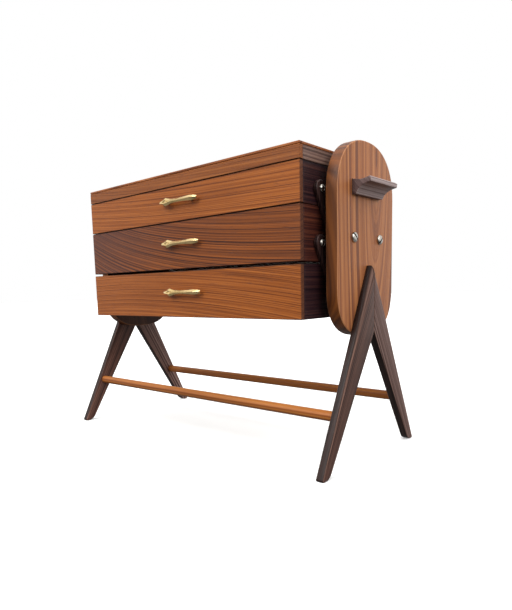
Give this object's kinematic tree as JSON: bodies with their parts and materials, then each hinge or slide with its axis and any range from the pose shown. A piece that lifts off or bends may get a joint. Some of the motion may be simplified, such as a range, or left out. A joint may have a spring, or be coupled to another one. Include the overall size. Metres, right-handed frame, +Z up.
{
  "type": "sewing box with trays",
  "caption": "Wooden sewing box on splayed legs: a lidded tray and a hanging box swing out on levers from a fixed box between two rounded end panels.",
  "frame": {"origin": "on the floor under the middle of the object", "axes": "+X along the boxes to the right-hand end panel, +Y to the back, +Z up; the pulls face -Y"},
  "size_m": [0.605, 0.2676, 0.45],
  "materials": {
    "oiled_teak": "oiled straight-grained orange-brown wood",
    "dark_teak": "oiled darker brown wood",
    "walnut": "satin grey-brown wood",
    "panel_wood": "oiled striped brown wood, edges rounded",
    "dowel_wood": "oiled orange-brown dowel",
    "plywood": "pale birch plywood",
    "aged_brass": "aged cast brass",
    "nickel": "worn nickel plate"
  },
  "bodies": {
    "bottom_box": {"bottom_box_floor": "plywood", "bottom_box_front": "oiled_teak", "bottom_box_left_end": "dark_teak", "bottom_box_pull": "aged_brass", "bottom_box_rear": "oiled_teak", "bottom_box_right_end": "dark_teak", "bottom_box_screw_front_left": "nickel", "bottom_box_screw_front_right": "nickel", "bottom_box_screw_rear_left": "nickel", "bottom_box_screw_rear_right": "nickel"},
    "bottom_front_levers": {"bottom_front_lever_left": "walnut", "bottom_front_lever_right": "walnut"},
    "bottom_rear_levers": {"bottom_rear_lever_left": "walnut", "bottom_rear_lever_right": "walnut"},
    "root": {"frame_bolt_front_left": "nickel", "frame_bolt_front_right": "nickel", "frame_bolt_rear_left": "nickel", "frame_bolt_rear_right": "nickel", "front_stretcher": "dowel_wood", "left_end_panel": "panel_wood", "left_front_leg": "walnut", "left_lift_handle": "walnut", "left_rear_leg": "walnut", "middle_box_floor": "plywood", "middle_box_front": "oiled_teak", "middle_box_left_end": "dark_teak", "middle_box_pull": "aged_brass", "middle_box_rear": "oiled_teak", "middle_box_right_end": "dark_teak", "middle_box_screw_front_left": "nickel", "middle_box_screw_front_right": "nickel", "middle_box_screw_rear_left": "nickel", "middle_box_screw_rear_right": "nickel", "rear_stretcher": "dowel_wood", "right_end_panel": "panel_wood", "right_front_leg": "walnut", "right_lift_handle": "walnut", "right_rear_leg": "walnut"},
    "top_tray": {"hinge_lower_leaf": "aged_brass", "hinge_pin": "nickel", "top_tray_floor": "plywood", "top_tray_front": "oiled_teak", "top_tray_left_end": "dark_teak", "top_tray_pull": "aged_brass", "top_tray_rear": "oiled_teak", "top_tray_right_end": "dark_teak", "top_tray_screw_front_left": "nickel", "top_tray_screw_front_right": "nickel", "top_tray_screw_rear_left": "nickel", "top_tray_screw_rear_right": "nickel"},
    "lid": {"hinge_upper_leaf": "aged_brass", "lid_board": "oiled_teak", "lid_front_rail": "oiled_teak", "lid_left_rail": "dark_teak", "lid_rear_rail": "oiled_teak", "lid_right_rail": "dark_teak"},
    "top_front_levers": {"top_front_lever_left": "walnut", "top_front_lever_right": "walnut"},
    "top_rear_levers": {"top_rear_lever_left": "walnut", "top_rear_lever_right": "walnut"}
  },
  "joints": [
    {"name": "top_tray_swing", "type": "hinge", "parent": "root", "child": "top_front_levers", "pos_m": [0, -0.0359, 0.3184], "axis": [-1, 0, 0], "range_deg": [0, 62]},
    {"name": "top_tray_level", "type": "hinge", "parent": "top_front_levers", "child": "top_tray", "pos_m": [0, -0.0745, 0.382], "axis": [-1, 0, 0], "range_deg": [-62, 0]},
    {"name": "top_rear_lever_swing", "type": "hinge", "parent": "root", "child": "top_rear_levers", "pos_m": [0, 0.0359, 0.3184], "axis": [-1, 0, 0], "range_deg": [0, 62]},
    {"name": "lid_hinge", "type": "hinge", "parent": "top_tray", "child": "lid", "pos_m": [0, 0.1181, 0.415], "axis": [-1, 0, 0], "range_deg": [0, 105]},
    {"name": "bottom_box_swing", "type": "hinge", "parent": "root", "child": "bottom_front_levers", "pos_m": [0, -0.0745, 0.311], "axis": [-1, 0, 0], "range_deg": [0, 62]},
    {"name": "bottom_box_level", "type": "hinge", "parent": "bottom_front_levers", "child": "bottom_box", "pos_m": [0, -0.0359, 0.2474], "axis": [-1, 0, 0], "range_deg": [-62, 0]},
    {"name": "bottom_rear_lever_swing", "type": "hinge", "parent": "root", "child": "bottom_rear_levers", "pos_m": [0, -0.0027, 0.311], "axis": [-1, 0, 0], "range_deg": [0, 62]}
  ],
  "couplings": [
    {"joint": "top_tray_level", "follows": "top_tray_swing", "ratio": -1},
    {"joint": "top_rear_lever_swing", "follows": "top_tray_swing", "ratio": 1},
    {"joint": "bottom_box_level", "follows": "bottom_box_swing", "ratio": -1},
    {"joint": "bottom_rear_lever_swing", "follows": "bottom_box_swing", "ratio": 1}
  ]
}
